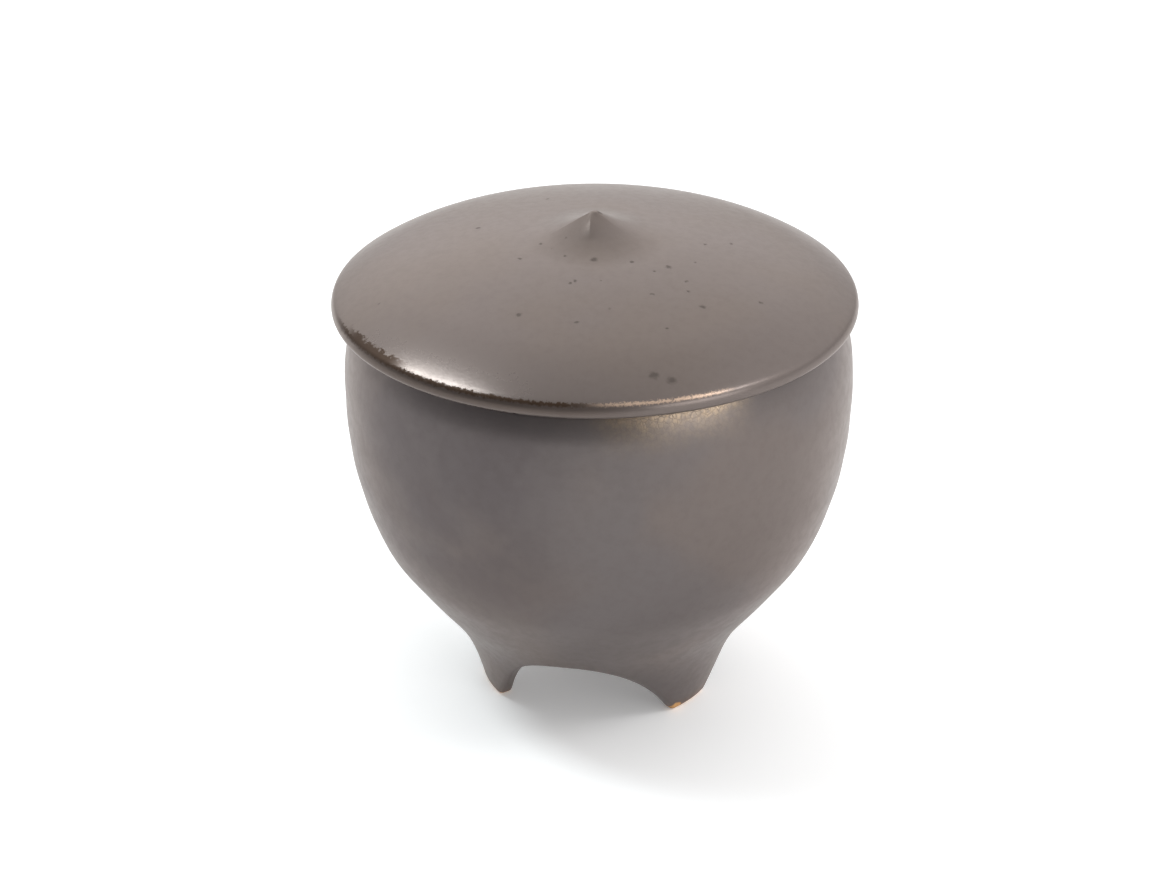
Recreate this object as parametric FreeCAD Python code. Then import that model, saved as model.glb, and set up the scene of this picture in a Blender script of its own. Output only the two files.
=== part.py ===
import FreeCAD, Part
import math
import os

# A three-footed ceramic incense burner with a loose lid, its bed of ash and one incense cone.
# Millimetres, +Z up. The origin is on the ground, midway between the feet. One foot points
# along +Y and the other two stand either side of -Y. Bowl, ash and cone are turned about Z.
# The lid is turned about a line beside it, because a loose lid never lies quite in the middle.

V = FreeCAD.Vector
UP = V(0, 0, 1)
FULL_TURN = 360.0

# Bowl
BOWL_HEIGHT = 104.0
BELLY_DIAMETER = 127.0
SHOULDER_HEIGHT = 21.0
SHOULDER_INSET = 3.65
RIM_BEVEL = 0.8
BOWL_WALL = 4.6
BOWL_FLOOR = 5.0

# Foot ring, which arches cut into feet
FOOT_COUNT = 3
FIRST_FOOT_AZIMUTH = 90.0
FOOT_HEIGHT = 23.0
FOOT_RING_DIAMETER = 59.8
FOOT_WALL = 4.0
FOOT_INSIDE_FLARE = 6.6
FOOT_WIDTH = 12.8
FOOT_ROUNDING = 1.2
ARCH_HEIGHT = 21.4

# Lid
LID_OVERHANG = 5.15
LID_WALL = 4.5
LID_EDGE_HEIGHT = 3.7
LID_EDGE_BULGE = 0.9
LID_EDGE_UNDERCUT = 1.6
DOME_RISE = 15.0
DOME_SHOULDER_WIDTH = 16.1
DOME_SHOULDER_RISE = 7.9
PEAK_RISE = 5.8
PEAK_TIP_RADIUS = 0.8
PEAK_FOOT_RADIUS = 18.5
FLANGE_DEPTH = 7.0
FLANGE_WALL = 3.2
FLANGE_BEVEL = 0.9
SEAT_CLEARANCE = 1.4

# Ash and incense
ASH_DEPTH = 32.0
ASH_CLEARANCE = 0.2
CONE_DIAMETER = 12.0
CONE_HEIGHT = 25.0
CONE_TIP_RADIUS = 1.0

# How near two places are when they count as the same
SAME_PLACE = 0.001

# How far the lid has slid across its clearance, and which way
LID_DRIFT_SHARE = 0.7
LID_DRIFT_AZIMUTH = 188.6

# Where the bowl's curve tightens and where it turns hollow, as shares of the way up from the top
# of the feet to the belly and of the way out from the foot ring to the belly
HIP_SHARES = (0.63, 0.93)
WAIST_SHARES = (0.1, 0.455)
LID_BULGE_SHARE = 0.42

# Half an arch, from its top to below the ground, as (share of its half angle, share of its height)
ARCH_SHARES = [(0.0, 1.0), (0.25, 0.959), (0.5, 0.76), (0.75, 0.372), (0.9, 0.112), (1.03, -0.095)]
ARCH_INNER_SHARE = 0.3

# Where the ash's straight sides meet, as shares of the height from the wall's foot to its top
ASH_SIDE_SHARES = [0.4, 1.0]


def place(radius, height):
    """A point of a turned outline."""
    return V(radius, 0, height)


def straight(*points):
    """The straight edges that join the points in order."""
    return [Part.LineSegment(a, b).toShape() for a, b in zip(points, points[1:])]


def towards(start, end, distance):
    """The point this far from one point on the way to another."""
    return start + (end - start).normalize() * distance


def arc_between(centre, start, end):
    """The shorter arc about a centre from one point to another at the same distance."""
    middle = towards(centre, (start + end) / 2, (start - centre).Length)
    return Part.Arc(start, middle, end).toShape()


def centre_of_flow(start, end, last_centre):
    """The centre of the arc between two points that follows on smoothly from another arc."""
    chord = end - start
    normal = towards(V(), last_centre - start, 1)
    return start + normal * (chord.Length ** 2 / (2 * chord.dot(normal)))


def turned(edges):
    """The solid that a closed outline sweeps about the Z axis."""
    return Part.Face(Part.Wire(edges)).revolve(V(), UP, FULL_TURN)


def lies_on_seam(edge):
    """Whether an edge is the seam where a turned face closes."""
    return max(abs(edge.BoundBox.YMin), abs(edge.BoundBox.YMax)) < SAME_PLACE


# Places on the bowl's outline, from the ground up
ring_outside = place(FOOT_RING_DIAMETER / 2, 0)
ring_inside = place(ring_outside.x - FOOT_WALL, 0)
ring_root = place(ring_inside.x + FOOT_INSIDE_FLARE, FOOT_HEIGHT)
underside = place(0, FOOT_HEIGHT)
floor = place(0, FOOT_HEIGHT + BOWL_FLOOR)
ash_top = floor + UP * ASH_DEPTH
belly = place(BELLY_DIAMETER / 2, BOWL_HEIGHT - SHOULDER_HEIGHT)
rim = place(belly.x - SHOULDER_INSET, BOWL_HEIGHT)
span = place(belly.x - ring_outside.x, belly.z - FOOT_HEIGHT)
hip, waist = [place(ring_outside.x + span.x * across, FOOT_HEIGHT + span.z * rise)
              for rise, across in (HIP_SHARES, WAIST_SHARES)]

# The centres of its arcs, which follow on smoothly from the upright belly
axis_at_belly = place(0, belly.z)
shoulder_centre = centre_of_flow(belly, rim, axis_at_belly)
belly_centre = centre_of_flow(belly, hip, axis_at_belly)
waist_centre = centre_of_flow(hip, waist, belly_centre)
foot_centre = centre_of_flow(waist, ring_outside, waist_centre)


def wall_at(height, depth=0):
    """The place at a height in the bowl's wall, this deep behind its outside."""
    centre, start = waist_centre, waist
    if height > hip.z:
        centre, start = belly_centre, hip
    if height > belly.z:
        centre, start = shoulder_centre, belly
    radius = (start - centre).Length - depth
    return place(centre.x + math.sqrt(radius ** 2 - (height - centre.z) ** 2), height)


# The inside of the bowl's mouth, which the lid's flange drops into
mouth = wall_at(BOWL_HEIGHT, BOWL_WALL)


def knuckle(depth, floor_height):
    """The two ends and the centre of the arc that joins the wall's inside to a flat floor."""
    wall_end = towards(waist, waist_centre, depth)
    inwards = (waist_centre - wall_end).normalize()
    radius = (wall_end.z - floor_height) / (1 - inwards.z)
    centre = wall_end + inwards * radius
    return wall_end, place(centre.x, floor_height), centre


def arch_cutter():
    """A fan about the +X axis, as wide and as high as one arch, that cuts through the foot ring."""
    foot_half_angle = math.degrees(math.asin(FOOT_WIDTH / FOOT_RING_DIAMETER))
    half_angle = FULL_TURN / FOOT_COUNT / 2 - foot_half_angle
    shares = [(-around, rise) for around, rise in reversed(ARCH_SHARES[1:])] + ARCH_SHARES

    def outline(distance):
        across = [distance * math.tan(math.radians(half_angle * around)) for around, _ in shares]
        points = [V(distance, y, ARCH_HEIGHT * rise) for y, (_, rise) in zip(across, shares)]
        curve = Part.BSplineCurve()
        curve.interpolate(Points=points, Parameters=[around for around, _ in shares])
        return Part.Wire([curve.toShape()] + straight(points[-1], points[0]))

    return Part.makeLoft([outline(ring_inside.x * ARCH_INNER_SHARE), outline(belly.x)], True, True)


def foot_edges(bowl):
    """The edges that the arches leave round the feet and along the foot ring."""
    return [edge for edge in bowl.Edges
            if edge.BoundBox.ZMax < FOOT_HEIGHT - SAME_PLACE and not lies_on_seam(edge)]


def make_bowl():
    """The bowl, turned with its foot ring, which the arches then cut into feet."""
    rim_low = wall_at(BOWL_HEIGHT - RIM_BEVEL)
    rim_top = rim - place(RIM_BEVEL, 0)
    mouth_low = wall_at(BOWL_HEIGHT - RIM_BEVEL, BOWL_WALL)
    mouth_top = mouth + place(RIM_BEVEL, 0)
    belly_inside = towards(belly, belly_centre, BOWL_WALL)
    hip_inside = towards(hip, belly_centre, BOWL_WALL)
    wall_end, floor_edge, knuckle_centre = knuckle(BOWL_WALL, floor.z)

    edges = [arc_between(foot_centre, ring_outside, waist),
             arc_between(waist_centre, waist, hip),
             arc_between(belly_centre, hip, belly),
             arc_between(shoulder_centre, belly, rim_low)]
    edges += straight(rim_low, rim_top, mouth_top, mouth_low)
    edges += [arc_between(shoulder_centre, mouth_low, belly_inside),
              arc_between(belly_centre, belly_inside, hip_inside),
              arc_between(waist_centre, hip_inside, wall_end),
              arc_between(knuckle_centre, wall_end, floor_edge)]
    edges += straight(floor_edge, floor, underside, ring_root, ring_inside, ring_outside)
    bowl = turned(edges)

    fan = arch_cutter()
    step = FULL_TURN / FOOT_COUNT
    first = FIRST_FOOT_AZIMUTH + step / 2
    bowl = bowl.cut([fan.rotated(V(), UP, first + step * i) for i in range(FOOT_COUNT)])
    return bowl.makeFillet(FOOT_ROUNDING, foot_edges(bowl))


def make_lid():
    """The lid: a shallow dome drawn up into a peak, with a flange that drops into the mouth."""
    seat = BOWL_HEIGHT
    edge_bulge = place(rim.x + LID_OVERHANG, seat + LID_EDGE_HEIGHT * LID_BULGE_SHARE)
    edge_bottom = place(edge_bulge.x - LID_EDGE_UNDERCUT, seat)
    arris = place(edge_bulge.x - LID_EDGE_BULGE, seat + LID_EDGE_HEIGHT)

    # The dome is part of a sphere, and its shoulder turns down to the arris more tightly. The
    # peak's flank curves the other way, between the dome and a small round tip. Each of these
    # follows on from the next without a corner.
    shoulder = arris + place(-DOME_SHOULDER_WIDTH, DOME_SHOULDER_RISE)
    crown_rise = DOME_RISE - DOME_SHOULDER_RISE
    dome_radius = (shoulder.x ** 2 + crown_rise ** 2) / (2 * crown_rise)
    dome_centre = place(0, arris.z + DOME_RISE - dome_radius)
    turn_centre = centre_of_flow(shoulder, arris, dome_centre)
    tip = place(0, arris.z + DOME_RISE + PEAK_RISE)
    tip_centre = tip - UP * PEAK_TIP_RADIUS
    lean = math.asin(PEAK_FOOT_RADIUS / dome_radius)
    to_foot = place(math.sin(lean), math.cos(lean))
    apart = tip_centre - dome_centre
    shortfall = dome_radius - PEAK_TIP_RADIUS
    reach = (apart.Length ** 2 - shortfall ** 2) / (2 * (apart.dot(to_foot) - shortfall))
    flank_centre = dome_centre + to_foot * reach
    peak_foot = dome_centre + to_foot * dome_radius
    tip_edge = towards(tip_centre, flank_centre, PEAK_TIP_RADIUS)

    # The underside follows the dome, down to the flange
    flange_top = place(mouth.x - SEAT_CLEARANCE, seat)
    flange_foot = flange_top - UP * FLANGE_DEPTH
    flange_inside = flange_foot - place(FLANGE_WALL, 0)
    bevel_out, bevel_up = place(FLANGE_BEVEL, 0), UP * FLANGE_BEVEL
    ceiling_radius = dome_radius - LID_WALL
    ceiling = dome_centre + UP * ceiling_radius
    ceiling_drop = math.sqrt(ceiling_radius ** 2 - flange_inside.x ** 2)
    ceiling_edge = place(flange_inside.x, dome_centre.z + ceiling_drop)

    edges = [Part.Arc(edge_bottom, edge_bulge, arris).toShape(),
             arc_between(turn_centre, arris, shoulder),
             arc_between(dome_centre, shoulder, peak_foot),
             arc_between(flank_centre, peak_foot, tip_edge),
             arc_between(tip_centre, tip_edge, tip)]
    edges += straight(tip, ceiling) + [arc_between(dome_centre, ceiling, ceiling_edge)]
    edges += straight(ceiling_edge, flange_inside + bevel_up, flange_inside + bevel_out,
                      flange_foot - bevel_out, flange_foot + bevel_up, flange_top, edge_bottom)
    lid = turned(edges)
    drift = math.radians(LID_DRIFT_AZIMUTH)
    lid.translate(V(math.cos(drift), math.sin(drift), 0) * SEAT_CLEARANCE * LID_DRIFT_SHARE)
    return lid


def make_ash_bed():
    """The bed of ash, which fills the bottom of the bowl up to a level top."""
    depth = BOWL_WALL + ASH_CLEARANCE
    wall_end, floor_edge, _ = knuckle(depth, floor.z + ASH_CLEARANCE)
    rise = ash_top.z - wall_end.z
    sides = [wall_at(wall_end.z + rise * share, depth) for share in ASH_SIDE_SHARES]
    bottom = place(0, floor_edge.z)
    return turned(straight(ash_top, bottom, floor_edge, wall_end, *sides, ash_top))


def make_incense_cone():
    """The cone of incense, which stands on the ash."""
    return Part.makeCone(CONE_DIAMETER / 2, CONE_TIP_RADIUS, CONE_HEIGHT, ash_top)


def only_solid(shape):
    """The one solid that a shape holds."""
    solid, = shape.Solids
    return solid


os.makedirs("parts", exist_ok=True)
pieces = {
    "bowl": make_bowl(),
    "lid": make_lid(),
    "ash_bed": make_ash_bed(),
    "incense_cone": make_incense_cone(),
}
for name, shape in pieces.items():
    solid = only_solid(shape)
    solid.exportStep(f"parts/{name}.step")
    print(name, "valid" if solid.isValid() else "not valid", f"{solid.Volume:.0f} cubic mm")
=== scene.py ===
import bpy
import math
import numpy as np
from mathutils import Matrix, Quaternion, Vector


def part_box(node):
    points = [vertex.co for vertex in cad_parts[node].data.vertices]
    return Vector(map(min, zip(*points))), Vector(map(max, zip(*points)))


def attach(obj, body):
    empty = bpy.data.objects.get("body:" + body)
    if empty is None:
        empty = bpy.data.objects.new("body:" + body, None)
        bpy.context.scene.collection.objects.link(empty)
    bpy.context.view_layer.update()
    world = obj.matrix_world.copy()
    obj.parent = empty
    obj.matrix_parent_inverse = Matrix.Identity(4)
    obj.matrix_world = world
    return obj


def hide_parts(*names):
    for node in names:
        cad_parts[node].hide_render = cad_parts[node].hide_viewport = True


# A ceramic incense burner with a loose lid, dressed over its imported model. Metres, +Z up.
# The camera looks along +Y, a little from the right. Outlines are in millimetres, and their
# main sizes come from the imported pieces. Azimuths are in degrees, from +X towards +Y.

MM = 0.001

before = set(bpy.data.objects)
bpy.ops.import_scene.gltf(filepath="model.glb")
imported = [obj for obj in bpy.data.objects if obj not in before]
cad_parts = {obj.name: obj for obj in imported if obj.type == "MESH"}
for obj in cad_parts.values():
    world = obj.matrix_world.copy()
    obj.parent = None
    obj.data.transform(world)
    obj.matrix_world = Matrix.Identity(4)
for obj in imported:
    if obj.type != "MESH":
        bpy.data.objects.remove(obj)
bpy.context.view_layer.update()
scene = bpy.context.scene
scene.view_settings.view_transform = "Standard"

bowl_low, bowl_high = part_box("bowl")
lid_low, lid_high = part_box("lid")
cone_low, cone_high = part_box("incense_cone")
BELLY_RADIUS = (bowl_high.x - bowl_low.x) / 2 / MM
BOWL_HEIGHT = bowl_high.z / MM
LID_MIDDLE = (lid_low + lid_high) / 2
LID_RADIUS = (lid_high.x - lid_low.x) / 2 / MM
LID_TOP = lid_high.z / MM
ASH_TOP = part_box("ash_bed")[1].z / MM
CONE_RADIUS = (cone_high.x - cone_low.x) / 2 / MM

# Sizes of the bowl

# The bowl's outside from the ground to the rim, as (share of its height, share of its belly)
BOWL_OUTLINE = [(0.0, 0.471), (0.058, 0.498), (0.115, 0.532), (0.192, 0.602), (0.26, 0.689),
                (0.337, 0.785), (0.404, 0.86), (0.481, 0.915), (0.558, 0.953), (0.635, 0.979),
                (0.702, 0.993), (0.798, 0.9994), (0.856, 0.9967), (0.933, 0.978), (1.0, 0.9425)]
BOWL_WALL = 4.6
RIM_ROUNDING = 1.3

# The inside of the foot ring: its radius at the ground, and how much that grows with height
FOOT_INSIDE = (25.9, 0.287)
FOOT_ROUNDING = 1.3

# The height of the bowl's underside, of its floor inside, and the radius of that floor
UNDERSIDE = 23.0
FLOOR = 28.0
FLOOR_RADIUS = 31.5

# The hand-cut arches between the feet: azimuth of the middle, then for each side how far it
# reaches, in degrees, and the two powers of its curve
ARCH_HEIGHT = 21.4
ARCHES = [(30.0, (48.4, 2.6, 1.55), (48.4, 2.6, 1.55)),
          (150.0, (48.4, 2.6, 1.55), (45.4, 2.6, 1.55)),
          (270.0, (51.4, 2.6, 1.55), (48.4, 1.7, 1.15))]

# Sizes of the lid, from its edge to its peak

LID_WALL = 4.5
LID_EDGE_HEIGHT = 3.7
LID_EDGE_BULGE = 0.9
DOME_RISE = 15.0
DOME_SHOULDER_WIDTH = 16.1
DOME_SHOULDER_RISE = 7.9
PEAK_FOOT_RADIUS = 18.5
PEAK_TIP_RADIUS = 0.8
FLANGE_RADIUS = 53.5
FLANGE_WALL = 3.2
FLANGE_DEPTH = 7.0

# The lid's edge, from its thin lower lip over the bulge to the worn arris, as (distance from
# its widest, height above the rim), and how far in from its widest the dome takes over
LID_EDGE = [(-3.9, -0.03), (-3.2, -0.22), (-2.3, -0.32), (-1.4, -0.24), (-0.75, 0.06), (-0.3, 0.5),
            (-0.06, 1.0), (0.0, 1.5), (-0.07, 2.05), (-0.23, 2.6), (-0.46, 3.08), (-0.78, 3.5),
            (-1.18, 3.86)]
LID_EDGE_INSET = 1.9

# The ridges that fingers pinched into the peak, and where they meet, in millimetres from its
# middle: azimuth, height as a share, how wide each side is in degrees, and where it dies out
PEAK_RIDGES = [(203.0, 0.24, 50.0, 40.0, 11.0), (277.0, 0.34, 26.0, 50.0, 8.0),
               (345.0, 0.15, 45.0, 35.0, 9.0), (90.0, 0.15, 60.0, 60.0, 9.0)]
RIDGES_MEET = (-1.0, -0.15)
TIP_BLUNTING = 0.5

# How many columns of points go round each mesh
BOWL_COLUMNS = 360
LID_COLUMNS = 360
ASH_COLUMNS = 240
CONE_COLUMNS = 96


# Outlines and turned meshes

def smooth_curve(points, count):
    """Evenly spread points on a natural cubic spline through the given ones."""
    points = np.array(points, float)
    steps = np.concatenate([[0], np.cumsum(np.linalg.norm(np.diff(points, axis=0), axis=1))])
    size = len(points)
    h = np.diff(steps)
    matrix = np.eye(size)
    right = np.zeros_like(points)
    for i in range(1, size - 1):
        matrix[i, i - 1:i + 2] = h[i - 1], 2 * (h[i - 1] + h[i]), h[i]
        right[i] = 6 * ((points[i + 1] - points[i]) / h[i] - (points[i] - points[i - 1]) / h[i - 1])
    bend = np.linalg.solve(matrix, right)
    at = np.linspace(0, steps[-1], count)
    i = np.clip(np.searchsorted(steps, at) - 1, 0, size - 2)
    a, b = (steps[i + 1] - at)[:, None], (at - steps[i])[:, None]
    h = h[i][:, None]
    return (bend[i] * a ** 3 / (6 * h) + bend[i + 1] * b ** 3 / (6 * h)
            + (points[i] / h - bend[i] * h / 6) * a + (points[i + 1] / h - bend[i + 1] * h / 6) * b)


def arc(centre, radius, start, end, count):
    """Points (mm) on an arc, by its angles in the plane of the outline."""
    angles = np.radians(np.linspace(start, end, count))
    return [(centre[0] + radius * math.cos(a), centre[1] + radius * math.sin(a)) for a in angles]


def all_round(points, columns):
    """Radii and heights of an outline that is the same in every column."""
    radii, heights = (np.tile(np.array(part, float), (columns, 1)) for part in zip(*points))
    return radii, heights


def column_angles(columns):
    """The azimuth of each column in radians, one below the other."""
    return (np.arange(columns) * 2 * np.pi / columns)[:, None]


def lathe(name, radii, heights, middle=(0, 0)):
    """A closed turned mesh. Row by row, radii and heights (mm) go round the outline from pole to
    pole, with the clay on the left, and each may differ from column to column."""
    columns, rows = radii.shape
    angles = column_angles(columns)
    points = np.stack([radii * np.cos(angles), radii * np.sin(angles), heights], axis=2) * MM
    points[:, :, 0] += middle[0]
    points[:, :, 1] += middle[1]
    ring = points[:, 1:-1].reshape(-1, 3)
    first, last = len(ring), len(ring) + 1
    vertices = np.vstack([ring, points[0, 0], points[0, -1]])
    inner = rows - 2
    faces = []
    for i in range(columns):
        here, there = i * inner, (i + 1) % columns * inner
        faces.append((first, there, here))
        faces += [(here + j, there + j, there + j + 1, here + j + 1) for j in range(inner - 1)]
        faces.append((last, here + inner - 1, there + inner - 1))
    mesh = bpy.data.meshes.new(name)
    mesh.from_pydata(vertices.tolist(), [], faces)
    mesh.polygons.foreach_set("use_smooth", [True] * len(mesh.polygons))
    mesh.update()
    turned = bpy.data.objects.new(name, mesh)
    scene.collection.objects.link(turned)
    return turned


# The bowl

bowl_outline = smooth_curve([(r * BELLY_RADIUS, z * BOWL_HEIGHT) for z, r in BOWL_OUTLINE], 400)


def outside(heights):
    """The bowl's outside radius at each height."""
    return np.interp(heights, bowl_outline[:, 1], bowl_outline[:, 0])


def behind(depth, low, high, count):
    """Points this deep behind the bowl's outside, from a low place on the outline to a high one."""
    heights = np.linspace(low, high, count)
    radii = outside(heights)
    slope_r, slope_z = np.gradient(radii), np.gradient(heights)
    length = np.hypot(slope_r, slope_z)
    return list(zip(radii - depth * slope_z / length, heights + depth * slope_r / length))


def arch_height(angles):
    """The height of the foot ring's lower edge at each azimuth."""
    lift = np.zeros_like(angles)
    for middle, *sides in ARCHES:
        off = (angles - middle + 180) % 360 - 180
        for side, (reach, bow, run_out) in zip((-1, 1), sides):
            share = np.clip(side * off / reach, 0, 1)
            here = ARCH_HEIGHT * (1 - share ** bow) ** run_out
            lift = np.where(side * off >= 0, np.maximum(lift, here), lift)
    return lift


def level_rows(points):
    """Rows of the bowl that are the same all round, from points on its outline."""
    return [(np.full(BOWL_COLUMNS, float(r)), np.full(BOWL_COLUMNS, float(z))) for r, z in points]


def make_bowl():
    """The bowl with its three feet, all one piece of clay."""
    angles = np.arange(BOWL_COLUMNS) * 360.0 / BOWL_COLUMNS
    base = arch_height(angles)
    run = np.radians(360.0 / BOWL_COLUMNS) * outside(base)
    slope = (np.roll(base, -1) - np.roll(base, 1)) / (2 * run)
    steep = np.sqrt(1 + np.minimum(slope ** 2, 9))
    edge_out = base + FOOT_ROUNDING * steep
    edge_in = np.minimum(base + FOOT_ROUNDING * steep, UNDERSIDE - 1.3)
    inside_ring = FOOT_INSIDE[0] + FOOT_INSIDE[1] * UNDERSIDE

    # The underside, and down the inside of the foot ring
    rows = level_rows([(r, UNDERSIDE) for r in (0, 6, 14, 22, inside_ring - 3.0)])
    rows += level_rows(arc((inside_ring - 1.7, UNDERSIDE - 1.2), 1.2, 90, 10, 5))
    top = UNDERSIDE - 1.2
    for share in np.linspace(0.12, 1, 8):
        z = top + (edge_in - top) * share
        rows.append((FOOT_INSIDE[0] + FOOT_INSIDE[1] * z, z))

    # Round the edges of the feet and arches, and up the outside
    for turn in np.radians(np.linspace(15, 90, 6)):
        z = edge_in + (base - edge_in) * math.sin(turn)
        rows.append((FOOT_INSIDE[0] + FOOT_INSIDE[1] * z + FOOT_ROUNDING * (1 - math.cos(turn)), z))
    inner_end, outer_end = rows[-1][0], outside(base) - FOOT_ROUNDING
    for share in (0.33, 0.67, 1.0):
        rows.append((inner_end + (outer_end - inner_end) * share, base))
    for turn in np.radians(np.linspace(15, 90, 6)):
        z = base + (edge_out - base) * (1 - math.cos(turn))
        rows.append((outside(z) - FOOT_ROUNDING * (1 - math.sin(turn)), z))
    waist = 36.0
    for share in np.linspace(0, 1, 27)[1:]:
        z = edge_out + (waist - edge_out) * share
        rows.append((outside(z), z))
    top = BOWL_HEIGHT - RIM_ROUNDING
    rows += level_rows([(outside(z), z) for z in np.linspace(waist, top, 56)[1:]])

    # Over the rim, down the inside and across the floor
    mouth = behind(BOWL_WALL, FLOOR, BOWL_HEIGHT, 80)
    lip = np.interp(top, [z for _, z in mouth], [r for r, _ in mouth])
    rows += level_rows(arc((outside(top) - RIM_ROUNDING - 0.3, top), RIM_ROUNDING, 15, 90, 6))
    rows += level_rows(arc((lip + RIM_ROUNDING, top), RIM_ROUNDING, 90, 180, 7))
    rows += level_rows([(r, z) for r, z in reversed(mouth) if z < top - 0.8])
    wall_r, wall_z = rows[-1][0][0], rows[-1][1][0]
    corner = []
    for turn in np.radians(np.linspace(12, 90, 7)):
        corner.append((wall_r - (wall_r - FLOOR_RADIUS) * math.sin(turn) ** 1.1,
                       FLOOR + (wall_z - FLOOR) * (1 - math.sin(turn)) ** 1.3))
    rows += level_rows(corner)
    rows += level_rows([(r, FLOOR) for r in (24, 14, 6, 0)])
    radii, heights = (np.stack(part, axis=1) for part in zip(*rows))

    # The faint, uneven rings that the potter's fingers leave
    turn = np.radians(angles)[:, None]
    fade = np.clip((heights - 30) / 20, 0, 1) * np.clip((BOWL_HEIGHT - 4 - heights) / 6, 0, 1)
    rings = np.sin(heights * 0.55 + turn + 0.8 * np.sin(2 * turn)) + np.sin(heights * 0.23 - 2 * turn)
    radii = radii - fade * (0.09 - 0.045 * rings)
    return lathe("bowl_body_glazed", radii, heights)


# The lid

def flow_centre(start, end, last):
    """The centre of the arc between two points that follows on smoothly from another arc."""
    chord, inwards = end - start, last - start
    inwards = inwards / np.linalg.norm(inwards)
    return start + inwards * chord.dot(chord) / (2 * chord.dot(inwards))


# The arcs of the lid's top, in the plane of its outline
arris = np.array((LID_RADIUS - LID_EDGE_BULGE, BOWL_HEIGHT + LID_EDGE_HEIGHT))
shoulder = arris + (-DOME_SHOULDER_WIDTH, DOME_SHOULDER_RISE)
crown_rise = DOME_RISE - DOME_SHOULDER_RISE
crown_radius = (shoulder[0] ** 2 + crown_rise ** 2) / (2 * crown_rise)
crown_centre = np.array((0, arris[1] + DOME_RISE - crown_radius))
turn_centre = flow_centre(shoulder, arris, crown_centre)
turn_radius = np.linalg.norm(arris - turn_centre)
tip_centre = np.array((0, LID_TOP - PEAK_TIP_RADIUS))
lean = math.asin(PEAK_FOOT_RADIUS / crown_radius)
to_foot = np.array((math.sin(lean), math.cos(lean)))
shortfall = crown_radius - PEAK_TIP_RADIUS
apart = tip_centre - crown_centre
flank_reach = (apart.dot(apart) - shortfall ** 2) / (2 * (apart.dot(to_foot) - shortfall))
flank_centre = crown_centre + to_foot * flank_reach
flank_radius = flank_reach - crown_radius
tip_reach = PEAK_TIP_RADIUS * flank_centre[0] / (flank_radius + PEAK_TIP_RADIUS)


def lid_top(radius):
    """The height of the lid's top at each distance from its middle."""
    tip = tip_centre[1] + np.sqrt(np.maximum(PEAK_TIP_RADIUS ** 2 - radius ** 2, 0))
    across = np.maximum(flank_radius ** 2 - (flank_centre[0] - radius) ** 2, 0)
    flank = flank_centre[1] - np.sqrt(across)
    crown = crown_centre[1] + np.sqrt(crown_radius ** 2 - radius ** 2)
    turn = turn_centre[1] + np.sqrt(np.maximum(turn_radius ** 2 - (radius - turn_centre[0]) ** 2, 0))
    dome = np.where(radius < shoulder[0], crown, turn)
    return np.where(radius < tip_reach, tip, np.where(radius < PEAK_FOOT_RADIUS, flank, dome))


def ceiling(radius):
    """The height of the lid's underside."""
    return crown_centre[1] + math.sqrt((crown_radius - LID_WALL) ** 2 - radius ** 2)


def peak_ridges(x, y):
    """How far the pinched ridges push the peak outwards at each place, as a share."""
    angles = np.degrees(np.arctan2(y - RIDGES_MEET[1], x - RIDGES_MEET[0]))
    reach = np.hypot(x - RIDGES_MEET[0], y - RIDGES_MEET[1])
    push = np.zeros_like(x)
    for azimuth, share, before, after, end in PEAK_RIDGES:
        off = (angles - azimuth + 180) % 360 - 180
        near = np.clip(1 - np.where(off < 0, -off / before, off / after), 0, 1)
        fade = np.clip(reach / 1.2, 0, 1) * np.clip((end - reach) / (end - 3), 0, 1)
        push = push + share * near ** 1.5 * fade
    return push


def make_lid():
    """The lid, with its domed top, worn edge and pinched peak, and the flange under it."""
    seat = BOWL_HEIGHT
    flange_in, flange_low = FLANGE_RADIUS - FLANGE_WALL, seat - FLANGE_DEPTH

    # The underside, round the flange and out over the seat
    path = [(r, ceiling(r)) for r in (0, 4, 9, 15, 21, 27, 33, 38, 43, 46)]
    path += arc((flange_in - 2.5, ceiling(flange_in) - 2.5), 2.5, 75, 5, 6)
    path += [(flange_in, z) for z in (seat + 2, seat - 1, seat - 4)]
    path += arc((flange_in + 1.2, flange_low + 1.2), 1.2, 180, 270, 6)
    path += arc((FLANGE_RADIUS - 1.2, flange_low + 1.2), 1.2, 270, 360, 6)
    path += [(FLANGE_RADIUS, z) for z in (seat - 4, seat - 1.6)]
    path += [(FLANGE_RADIUS + 0.25, seat - 0.4), (FLANGE_RADIUS + 0.9, seat + 0.02)]
    path += [(r, seat + 0.02) for r in (56, 59, 60.6)]

    # Round the edge and in over the dome
    inner = LID_RADIUS - LID_EDGE_INSET
    edge = smooth_curve(LID_EDGE + [(-LID_EDGE_INSET, float(lid_top(inner)) - seat)], 48)
    path += [(LID_RADIUS + r, seat + z) for r, z in edge]
    path += [(r, float(lid_top(r))) for r in np.linspace(inner - 0.5, 20, 60)]

    # Up the pinched peak, close to the middle
    near = [*np.linspace(19.4, 6.2, 23), *np.linspace(5.8, 1.0, 25), 0.8, 0.6, 0.4, 0.2, 0]
    radii, heights = all_round(path + [(r, LID_TOP) for r in near], LID_COLUMNS)
    r = radii[:, -len(near):]
    turn = column_angles(LID_COLUMNS)
    push = peak_ridges(r * np.cos(turn), r * np.sin(turn))
    blunt = np.sqrt(r ** 2 + TIP_BLUNTING ** 2) - TIP_BLUNTING
    blunt += (r - blunt) * np.clip((r - 8) / 10, 0, 1)
    heights[:, -len(near):] = np.minimum(lid_top(blunt / (1 + push)), LID_TOP - 0.002)
    return lathe("lid_body_glazed", radii, heights, LID_MIDDLE)


# The ash and the incense

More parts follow.
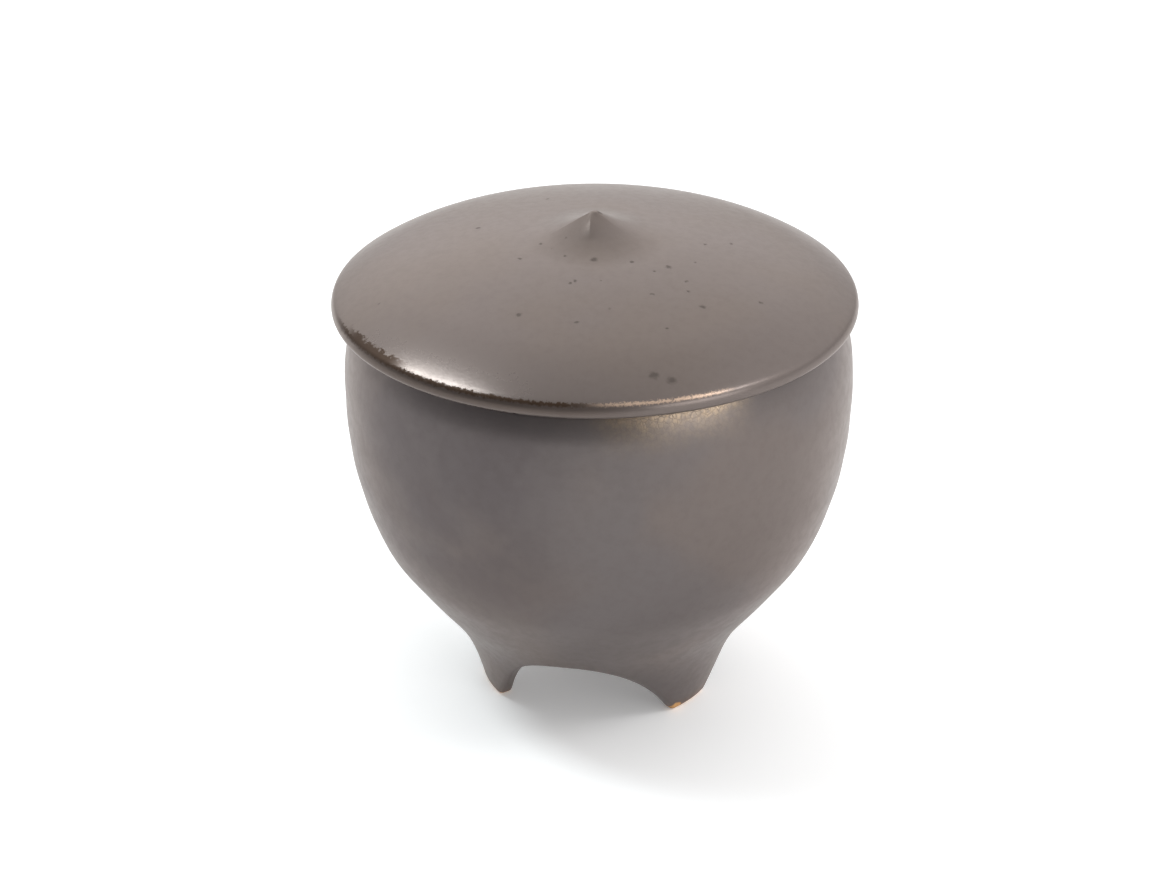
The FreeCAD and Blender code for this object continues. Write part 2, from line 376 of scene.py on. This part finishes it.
def make_ash():
    """The bed of ash, levelled with a finger and faintly lumpy."""
    rng = np.random.default_rng(4)
    low = FLOOR + 0.3
    wall = [(r, z) for r, z in behind(BOWL_WALL + 0.35, low, ASH_TOP + 4, 40) if z < ASH_TOP - 0.6]
    edge = np.interp(ASH_TOP, [z for _, z in wall], [r for r, _ in wall])
    start_r, start_z = wall[0]
    path = [(r, low) for r in (0, 12, 24, FLOOR_RADIUS - 0.5)]
    path += [(start_r - (start_r - FLOOR_RADIUS) * (1 - t), low + (start_z - low) * t ** 1.6)
             for t in (0.35, 0.7)]
    path += wall + [(edge, ASH_TOP - 0.4)]
    top = np.linspace(edge - 0.3, 0, 90)
    radii, heights = all_round(path + [(r, ASH_TOP) for r in top], ASH_COLUMNS)

    # Lumps of four sizes, level round the cone, with a shallow hollow towards the wall
    turn = column_angles(ASH_COLUMNS)
    r = radii[:, -len(top):]
    x, y = r * np.cos(turn), r * np.sin(turn)
    lumps = np.zeros_like(r)
    for size, height in ((26, 0.5), (11, 0.3), (5, 0.16), (2.4, 0.08)):
        for _ in range(5):
            heading, phase = rng.uniform(0, 2 * np.pi, 2)
            along = x * math.cos(heading) + y * math.sin(heading)
            lumps += height / 5 * np.sin(along * 2 * np.pi / size + phase)
    away = np.clip((r - 6.5) / 8, 0, 1)
    sag = 1.1 * np.clip((r - 8) / (edge - 8), 0, 1) ** 2
    heights[:, -len(top):] -= 0.02 + away * (0.75 + sag * 0.5 + lumps * 0.7)
    heights[:, -1] = ASH_TOP - 0.02
    return lathe("ash_bed_raked", radii, heights)


def make_cone():
    """The cone of pressed incense powder."""
    radius, low, high = CONE_RADIUS, cone_low.z / MM, cone_high.z / MM
    path = [(0, low), (3, low), (radius - 0.7, low)]
    path += arc((radius - 0.55, low + 0.5), 0.5, 275, 360, 5)
    path += [(radius - (radius - 1.0) * t, low + 0.5 + (high - low - 1.4) * t)
             for t in np.linspace(0.03, 0.98, 34)]
    path += arc((0, high - 1.05), 1.05, 12, 90, 7)
    radii, heights = all_round(path, CONE_COLUMNS)
    turn = column_angles(CONE_COLUMNS)
    radii = radii * (0.985 + 0.012 * np.sin(3 * turn + heights * 0.4))
    radii[:, -1] = 0
    return lathe("incense_cone_pressed", radii, heights)


# Node helpers

class Nodes:
    """Adds nodes to one node tree. Values may be numbers or sockets."""

    def __init__(self, tree):
        self.tree = tree

    def node(self, kind, inputs=None, **settings):
        """A new node with its settings made, and its inputs set or linked."""
        made = self.tree.nodes.new(kind)
        for key, value in settings.items():
            setattr(made, key, value)
        for key, value in (inputs or {}).items():
            if isinstance(value, bpy.types.NodeSocket):
                self.tree.links.new(value, made.inputs[key])
            else:
                made.inputs[key].default_value = value
        return made

    def math(self, operation, a, b=0.0, c=0.0):
        return self.node("ShaderNodeMath", {0: a, 1: b, 2: c}, operation=operation).outputs[0]

    def vector(self, operation, inputs, output="Vector"):
        return self.node("ShaderNodeVectorMath", inputs, operation=operation).outputs[output]

    def times(self, first, *others):
        """The product of several values."""
        for other in others:
            first = self.math("MULTIPLY", first, other)
        return first

    def most(self, first, *others):
        """The largest of several values."""
        for other in others:
            first = self.math("MAXIMUM", first, other)
        return first

    def ramp(self, value, low, high, to_low=0.0, to_high=1.0):
        """A smooth step while the value goes from low to high."""
        return self.node("ShaderNodeMapRange", {
            "Value": value, "From Min": low, "From Max": high, "To Min": to_low, "To Max": to_high},
            interpolation_type="SMOOTHSTEP").outputs["Result"]


class Paint(Nodes):
    """Builds one material."""

    def __init__(self, name):
        self.material = bpy.data.materials.new(name)
        self.material.use_nodes = True
        super().__init__(self.material.node_tree)
        self.shader = self.tree.nodes["Principled BSDF"]
        self.place = self.node("ShaderNodeTexCoord").outputs["Object"]

    def noise(self, size, detail=3.0, roughness=0.55, distortion=0.0):
        """Noise whose features are about this many millimetres apart, from 0 to 1."""
        return self.node("ShaderNodeTexNoise", {
            "Vector": self.place, "Scale": 1 / (size * MM), "Detail": detail,
            "Roughness": roughness, "Distortion": distortion}).outputs["Fac"]

    def cells(self, size, place, **settings):
        """The distance within cells that are about this many millimetres across."""
        return self.node("ShaderNodeTexVoronoi", {"Vector": place, "Scale": 1 / (size * MM)},
                         **settings).outputs["Distance"]

    def mix(self, factor, a, b):
        made = self.node("ShaderNodeMix", data_type="RGBA")
        for socket, value in ((made.inputs[0], factor), (made.inputs[6], a), (made.inputs[7], b)):
            if isinstance(value, bpy.types.NodeSocket):
                self.tree.links.new(value, socket)
            else:
                socket.default_value = (*value, 1)
        return made.outputs[2]

    def distance(self, centre, place):
        return self.vector("DISTANCE", {0: place, 1: centre}, "Value")

    def round_axis(self, middle=(0, 0), level=0.0):
        """Distance from an upright line, height above a level, both in metres, and azimuth."""
        x, y, z = self.node("ShaderNodeSeparateXYZ", {0: self.place}).outputs
        x, y = self.math("SUBTRACT", x, middle[0]), self.math("SUBTRACT", y, middle[1])
        across = self.math("SQRT", self.math("ADD", self.times(x, x), self.times(y, y)))
        return across, self.math("SUBTRACT", z, level), self.math("ARCTAN2", y, x)

    def facing(self, turn, azimuth, inner, outer):
        """1 within so many degrees of an azimuth, and 0 beyond the outer ones."""
        off = self.math("COSINE", self.math("SUBTRACT", turn, math.radians(azimuth)))
        return self.ramp(off, math.cos(math.radians(outer)), math.cos(math.radians(inner)))

    def between(self, length, start, full, full_end, end):
        """1 between the two middle lengths, in millimetres, and 0 beyond the outer ones."""
        rising = self.ramp(length, start * MM, full * MM)
        return self.times(rising, self.ramp(length, end * MM, full_end * MM))

    def pushed(self, length, noise, amount):
        """A length that noise makes longer or shorter, over so many millimetres."""
        return self.math("ADD", length, self.times(self.math("SUBTRACT", noise, 0.5), amount * MM))

    def warped(self, size, amount):
        """The surface's place, pushed about by noise."""
        made = self.node("ShaderNodeTexNoise", {
            "Vector": self.place, "Scale": 1 / (size * MM), "Detail": 2.0})
        push = self.vector("SUBTRACT", {0: made.outputs["Color"], 1: (0.5, 0.5, 0.5)})
        return self.vector("MULTIPLY_ADD", {0: push, 1: (amount * MM,) * 3, 2: self.place})

    def link(self, value, socket):
        self.tree.links.new(value, self.shader.inputs[socket])

    def bump(self, height, depth):
        made = self.node("ShaderNodeBump", {"Height": height, "Distance": depth * MM, "Strength": 1.0})
        self.link(made.outputs["Normal"], "Normal")


# Finishes

METAL = 0.62
EDGE_TINT = (1.0, 0.93, 0.90, 1)
GLAZE = (0.153, 0.127, 0.117)
GLAZE_WARM = (0.152, 0.124, 0.110)
GLAZE_COOL = (0.139, 0.121, 0.118)
GLAZE_DARK = (0.068, 0.050, 0.043)
# Painted shade for the bowl's front left
GLAZE_PAINTED_SHADE = (0.076, 0.063, 0.067)
COPPER = (0.50, 0.36, 0.27)
# Brown of the worn edge, also used for painted shade along the lid's front
BROWN_WEAR_AND_SHADE = (0.040, 0.021, 0.011)
PIT = (0.045, 0.035, 0.030)
# Brass, bright enough to act as a painted highlight under the lid
BRASS_AND_HIGHLIGHT = (0.33, 0.25, 0.17)
CLAY = (0.72, 0.43, 0.18)
CLAY_DARK = (0.52, 0.25, 0.09)
FOOT_EDGE = (0.13, 0.07, 0.038)
SEAT = (0.34, 0.20, 0.11)
SEAT_DARK = (0.22, 0.125, 0.07)

# The larger dark pinholes on the lid: millimetres right and behind its middle, and their size
SPECKS = [(1, 0, 0.9), (2, -15, 1.2), (20, -14, 1.1), (17, -17, 0.7), (-16, -15, 0.8), (-6, -7, 0.7),
          (-5, -14, 0.7), (-12, -8, 0.6), (11, -14, 0.7), (26, -9, 0.7), (25, -19, 0.6), (26, -23, 0.6),
          (-1, -25, 0.7), (-2, -26, 0.6), (5, -24, 0.5), (18, -27, 0.7), (30, -28, 1.1), (43, -20, 0.8),
          (-12, -39, 1.0), (2, -41, 0.8), (23, -39, 0.6), (-30, 5, 0.7), (-16, 26, 0.7), (33, 6, 0.7),
          (27, 2, 0.6), (22, -54, 1.6), (26, -54, 1.5)]

# Where the marks, the painted shade and the painted highlight are on the lid and the bowl: azimuth
# of the middle, and how many degrees to each side a mark is full and where it ends
BROWN_LINE = (242, 29, 42)
RUBBED_PATCH = (222, 6, 13)
BROWN_BAND_AND_SHADE = (250, 22, 42)
COPPER_EDGE = (293, 7, 17)
BURNISH = (242, 12, 30)
PAINTED_SHADE_FRONT_LEFT = (240, 14, 38)
BRASS_HIGHLIGHT_AZIMUTH = (296, 6, 21)

# The chip on the right front foot, in metres
CHIP = (0.0226, -0.0198, 0.0004)


def make_lid_glaze():
    paint = Paint("lid_glaze_bronze")
    across, height, turn = paint.round_axis(LID_MIDDLE, BOWL_HEIGHT * MM)
    cloud = paint.noise(38, 2.0)
    mottle = paint.noise(2.2, 4.0, 0.65)
    fine = paint.noise(0.55, 3.0, 0.6)
    colour = paint.mix(paint.ramp(cloud, 0.38, 0.66), GLAZE, GLAZE_WARM)
    colour = paint.mix(paint.ramp(mottle, 0.35, 0.8, 0.0, 0.12), colour, GLAZE_DARK)

    # Soft brown pinholes, where the glaze shrank back from specks in the clay
    warped = paint.warped(1.3, 1.5)
    specks = 0.0
    for right, back, size in SPECKS:
        top = float(lid_top(math.hypot(right, back)))
        centre = (LID_MIDDLE.x + right * MM, LID_MIDDLE.y + back * MM, top * MM)
        spot = paint.ramp(paint.distance(centre, warped), size * 1.05 * MM, size * 0.2 * MM)
        specks = paint.most(specks, spot)
    sparse = paint.ramp(paint.noise(9, 1.0), 0.60, 0.66)
    pore = paint.times(paint.ramp(paint.cells(7.5, warped), 0.085, 0.02), sparse, 0.8)
    specks = paint.most(specks, pore)

    # The worn arris: a thin jagged brown line and a rubbed patch at the left, a soft brown band
    # in front that is partly brown glaze and partly painted shade, and copper to its right, where the glaze
    # broke thin
    teeth = paint.noise(0.9, 4.0, 0.7)
    jagged = paint.pushed(height, teeth, 1.7)
    torn = paint.pushed(height, paint.noise(1.7, 4.0, 0.75), 3.6)
    line = paint.times(paint.between(jagged, 2.3, 3.4, 3.65, 3.85), paint.facing(turn, *BROWN_LINE))
    patch = paint.times(paint.ramp(height, 2.5 * MM, 3.5 * MM), paint.ramp(torn, 4.8 * MM, 4.5 * MM),
                        paint.facing(turn, *RUBBED_PATCH))
    # The soft band in front is brown glaze with painted shade on it
    brown_band_and_shade = paint.times(paint.between(height, 0.2, 1.6, 3.4, 3.9), paint.facing(turn, *BROWN_BAND_AND_SHADE), 0.42)
    brown_wear_and_shade = paint.most(line, patch, brown_band_and_shade)
    colour = paint.mix(brown_wear_and_shade, colour, BROWN_WEAR_AND_SHADE)
    grainy = paint.pushed(height, paint.noise(0.5, 3.0, 0.7), 1.3)
    dots = paint.ramp(paint.noise(0.6, 2.0), 0.68, 0.56, 0.2, 1.0)
    copper = paint.times(paint.between(grainy, 3.0, 3.5, 3.6, 4.0), paint.facing(turn, *COPPER_EDGE), dots)
    colour = paint.mix(copper, colour, COPPER)
    colour = paint.mix(paint.times(specks, 0.55), colour, PIT)

    # The seat and the flange are wiped clean of glaze, so that the lid doesn't stick in the kiln
    wiped = paint.pushed(across, teeth, 0.8)
    clay = paint.times(paint.between(wiped, 50.6, 50.9, 60.7, 61.0), paint.ramp(height, 0.6 * MM, 0.3 * MM))
    colour = paint.mix(clay, colour, paint.mix(paint.noise(1.1), SEAT_DARK, SEAT))
    paint.link(colour, "Base Color")
    paint.link(paint.math("SUBTRACT", METAL, paint.times(clay, METAL)), "Metallic")
    paint.shader.inputs["Specular Tint"].default_value = EDGE_TINT

    rough = paint.ramp(mottle, 0.3, 0.7, 0.29, 0.33)
    burnish = paint.times(paint.facing(turn, *BURNISH), paint.ramp(height, 9 * MM, 5 * MM))
    rough = paint.math("SUBTRACT", rough, paint.times(burnish, 0.06))
    rough = paint.math("ADD", rough, paint.times(paint.most(specks, brown_wear_and_shade), 0.25))
    rough = paint.math("ADD", rough, paint.times(clay, 0.5))
    paint.link(rough, "Roughness")
    bumps = paint.math("ADD", paint.times(mottle, 0.5), paint.times(fine, 0.22))
    pits = paint.times(paint.most(specks, paint.times(brown_wear_and_shade, 0.3)), 1.2)
    paint.bump(paint.math("SUBTRACT", bumps, pits), 0.03)
    return paint.material


def make_bowl_glaze():
    paint = Paint("bowl_glaze_bronze")
    _, height, turn = paint.round_axis()
    cloud = paint.noise(46, 2.0, 0.5, 0.3)
    mottle = paint.noise(2.6, 4.0, 0.65)
    fine = paint.noise(0.6, 3.0, 0.6)
    colour = paint.mix(paint.ramp(cloud, 0.40, 0.62), GLAZE, GLAZE_COOL)
    colour = paint.mix(paint.ramp(mottle, 0.35, 0.8, 0.0, 0.12), colour, GLAZE_DARK)

    # Painted shade: a darker, cooler cloud at the front left, standing in for the dim surroundings that the
    # glaze reflects there
    away = paint.math("ABSOLUTE", paint.math("SUBTRACT", height, 76 * MM))
    uneven = paint.ramp(paint.noise(17, 3.0, 0.6), 0.32, 0.62, 0.5, 1.0)
    painted_shade = paint.times(paint.facing(turn, *PAINTED_SHADE_FRONT_LEFT), paint.ramp(away, 48 * MM, 15 * MM), uneven, 0.55)
    colour = paint.mix(painted_shade, colour, GLAZE_PAINTED_SHADE)

    # A brassy, crackled patch under the lid at the front right, strongest along the rim, brightened there
    # as a painted highlight
    rise = paint.pushed(height, paint.noise(5, 2.0), 4)
    high = paint.math("ADD", paint.ramp(rise, 91 * MM, 104 * MM, 0.0, 0.5),
                      paint.ramp(rise, 99 * MM, 102 * MM, 0.0, 0.5))
    brass_and_highlight_reach = paint.times(paint.facing(turn, *BRASS_HIGHLIGHT_AZIMUTH), high)
    brass_and_highlight_mix = paint.times(brass_and_highlight_reach, paint.ramp(paint.noise(1.4, 4.0, 0.7), 0.35, 0.65, 0.45, 1.0))
    colour = paint.mix(brass_and_highlight_mix, colour, BRASS_AND_HIGHLIGHT)
    crackle = paint.cells(1.3, paint.warped(1.0, 0.6), feature="DISTANCE_TO_EDGE")
    veins = paint.times(brass_and_highlight_reach, paint.ramp(crackle, 0.09, 0.02))
    colour = paint.mix(paint.times(veins, 0.35), colour, GLAZE_DARK)

    # Bare clay where the feet touch the ground and the lid sits, and a chip on the right front foot
    ragged = paint.math("SUBTRACT", height, paint.times(paint.noise(1.5, 3.0), 1.1 * MM))
    bare = paint.ramp(ragged, 0.35 * MM, -0.05 * MM)
    chip = paint.ramp(paint.distance(CHIP, paint.warped(1.5, 1.2)), 2.4 * MM, 1.7 * MM)
    seat = paint.ramp(ragged, (BOWL_HEIGHT - 1.2) * MM, (BOWL_HEIGHT - 0.9) * MM)
    clay = paint.most(bare, chip, seat)
    edge = paint.times(paint.ramp(ragged, 3.0 * MM, 0.8 * MM), 0.35)
    colour = paint.mix(edge, colour, FOOT_EDGE)
    colour = paint.mix(clay, colour, paint.mix(paint.noise(1.1), CLAY_DARK, CLAY))
    colour = paint.mix(seat, colour, paint.mix(paint.noise(1.1), SEAT_DARK, SEAT))
    paint.link(colour, "Base Color")
    paint.link(paint.math("SUBTRACT", METAL, paint.times(clay, METAL)), "Metallic")
    paint.shader.inputs["Specular Tint"].default_value = EDGE_TINT

    rough = paint.ramp(mottle, 0.3, 0.7, 0.31, 0.37)
    rough = paint.math("SUBTRACT", rough, paint.times(brass_and_highlight_mix, 0.06))
    rough = paint.math("ADD", rough, paint.times(clay, 0.4))
    paint.link(rough, "Roughness")
    bumps = paint.math("ADD", paint.times(mottle, 0.5), paint.times(fine, 0.22))
    paint.bump(paint.math("SUBTRACT", bumps, paint.times(veins, 0.5)), 0.03)
    return paint.material


def make_ash_finish():
    paint = Paint("ash_grey")
    coarse, fine = paint.noise(7, 4.0, 0.6), paint.noise(0.7, 5.0, 0.7)
    colour = paint.mix(paint.ramp(coarse, 0.35, 0.68), (0.60, 0.58, 0.55), (0.44, 0.42, 0.40))
    char = paint.ramp(paint.cells(5, paint.warped(2, 1.5)), 0.10, 0.05, 0.0, 0.6)
    colour = paint.mix(char, colour, (0.12, 0.11, 0.10))
    colour = paint.mix(paint.ramp(fine, 0.3, 0.7, 0.0, 0.35), colour, (0.74, 0.73, 0.70))
    paint.link(colour, "Base Color")
    paint.shader.inputs["Roughness"].default_value = 0.95
    paint.bump(paint.math("ADD", fine, paint.times(coarse, 0.6)), 0.35)
    return paint.material


def make_incense_finish():
    paint = Paint("incense_brown")
    grain, fine = paint.noise(1.6, 4.0, 0.6), paint.noise(0.35, 4.0, 0.65)
    colour = paint.mix(paint.ramp(grain, 0.35, 0.65), (0.17, 0.085, 0.04), (0.27, 0.15, 0.075))
    colour = paint.mix(paint.ramp(fine, 0.42, 0.72, 0.0, 0.6), colour, (0.42, 0.28, 0.16))
    paint.link(colour, "Base Color")
    paint.link(paint.ramp(fine, 0.3, 0.7, 0.78, 0.92), "Roughness")
    paint.bump(paint.math("ADD", grain, fine), 0.18)
    return paint.material


# Pieces

PIECES = [(make_bowl, "bowl", "bowl_body", "bowl_glaze", make_bowl_glaze),
          (make_lid, "lid", "lid_body", "lid_glaze", make_lid_glaze),
          (make_ash, "ash_bed", "bowl_body", "ash", make_ash_finish),
          (make_cone, "incense_cone", "bowl_body", "incense", make_incense_finish)]
for make, node, body, slot, finish in PIECES:
    piece = make()
    piece.data.materials.append(finish())
    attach(piece, body)
    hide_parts(node)

# Camera

EYE_ELEVATION = math.radians(26.95)
EYE_SWING = math.radians(8.6)
EYE_DISTANCE = 0.81
LENS = 99.57
SIDE_SHIFT = -0.0163
AIM = Vector((0, 0, 0.0672))
away = Vector((math.sin(EYE_SWING) * math.cos(EYE_ELEVATION),
               -math.cos(EYE_SWING) * math.cos(EYE_ELEVATION),
               math.sin(EYE_ELEVATION)))
lens = bpy.data.cameras.new("camera")
lens.lens = LENS
lens.shift_x = SIDE_SHIFT
eye = bpy.data.objects.new("camera", lens)
eye.location = AIM + away * EYE_DISTANCE
eye.rotation_euler = away.to_track_quat("Z", "Y").to_euler()
scene.collection.objects.link(eye)
scene.camera = eye

# The floor, which is whiter where the camera sees it and keeps the object's shadow

FLOOR_REACH = 6
FLOOR_WHITE = 0.9
FLOOR_WHITE_SEEN = 1.0
FLOOR_LIFT = 0.18
floor_mesh = bpy.data.meshes.new("floor")
corners = [(x * FLOOR_REACH, y * FLOOR_REACH, 0) for x, y in ((-1, -1), (1, -1), (1, 1), (-1, 1))]
floor_mesh.from_pydata(corners, [], [(0, 1, 2, 3)])
floor = bpy.data.objects.new("floor", floor_mesh)
scene.collection.objects.link(floor)
paint = Paint("floor_white")
paint.shader.inputs["Roughness"].default_value = 1.0
paint.shader.inputs["Specular IOR Level"].default_value = 0.0
paint.shader.inputs["Emission Color"].default_value = (1, 1, 1, 1)
rays = paint.node("ShaderNodeLightPath").outputs
paint.link(paint.ramp(rays["Is Camera Ray"], 0, 1, FLOOR_WHITE, FLOOR_WHITE_SEEN), "Base Color")
seen = paint.most(rays["Is Camera Ray"], rays["Is Glossy Ray"])
paint.link(paint.times(seen, FLOOR_LIFT), "Emission Strength")
floor_mesh.materials.append(paint.material)

# The room: white for the camera, and wide soft glows for the object

world = bpy.data.worlds.new("studio")
scene.world = world
world.use_nodes = True
room = Nodes(world.node_tree)
direction = room.node("ShaderNodeTexCoord").outputs["Generated"]


def glow(azimuth, elevation, sharpness, strength):
    """A wide soft glow in the room, brightest in one direction."""
    turn, rise = math.radians(azimuth), math.radians(elevation)
    towards = (math.cos(turn) * math.cos(rise), math.sin(turn) * math.cos(rise), math.sin(rise))
    near = room.vector("DOT_PRODUCT", {0: direction, 1: towards}, "Value")
    fall = room.math("EXPONENT", room.math("MULTIPLY_ADD", near, sharpness, -sharpness))
    return room.times(fall, strength)


glows = room.math("ADD", glow(114, 23, 1.95, 1.68), glow(-4, 18, 2.5, 1.22))
glows = room.math("ADD", glows, glow(0, 90, 2.1, 0.16))

# The room is dimmer low down, and in front of the object
up = room.node("ShaderNodeSeparateXYZ", {0: direction}).outputs[2]
front = room.vector("DOT_PRODUCT", {0: direction, 1: (-0.5, -0.87, 0.0)}, "Value")
level = room.times(glows, room.ramp(up, -0.05, 0.4, 0.55, 1.0), room.ramp(front, 0.1, 0.95, 1.0, 0.35))
lit = room.node("ShaderNodeBackground", {"Color": (1, 1, 1, 1), "Strength": level}).outputs[0]
white = room.node("ShaderNodeBackground", {"Color": (1, 1, 1, 1), "Strength": 1.0}).outputs[0]
by_camera = room.node("ShaderNodeLightPath").outputs["Is Camera Ray"]
shown = room.node("ShaderNodeMixShader", {0: by_camera, 1: lit, 2: white}).outputs[0]
room.tree.links.new(shown, room.tree.nodes["World Output"].inputs["Surface"])

# Soft lamps that face the object: name, direction, distance, width, height, watts, turn about
# their own axis in degrees, and colour

LAMP_AIM = Vector((0, 0, 0.07))
LAMPS = [("key", (-0.606, 0.0, 0.796), 1.4, 0.64, 0.26, 7.4, 45, (0.90, 0.98, 1.0)),
         ("right", (0.692, -0.147, 0.707), 1.4, 0.35, 0.35, 3.0, 0, (1, 1, 1)),
         ("low_right", (0.755, -0.61, 0.24), 1.3, 0.8, 0.45, 3.6, 0, (1, 1, 1))]
for name, towards, distance, width, height, watts, roll, colour in LAMPS:
    towards = Vector(towards).normalized()
    lamp = bpy.data.lights.new(name, "AREA")
    lamp.shape = "RECTANGLE"
    lamp.size = width
    lamp.size_y = height
    lamp.energy = watts
    lamp.color = colour
    holder = bpy.data.objects.new(name, lamp)
    holder.location = LAMP_AIM + towards * distance
    spin = Quaternion((0, 0, 1), math.radians(roll))
    holder.rotation_euler = (towards.to_track_quat("Z", "Y") @ spin).to_euler()
    scene.collection.objects.link(holder)
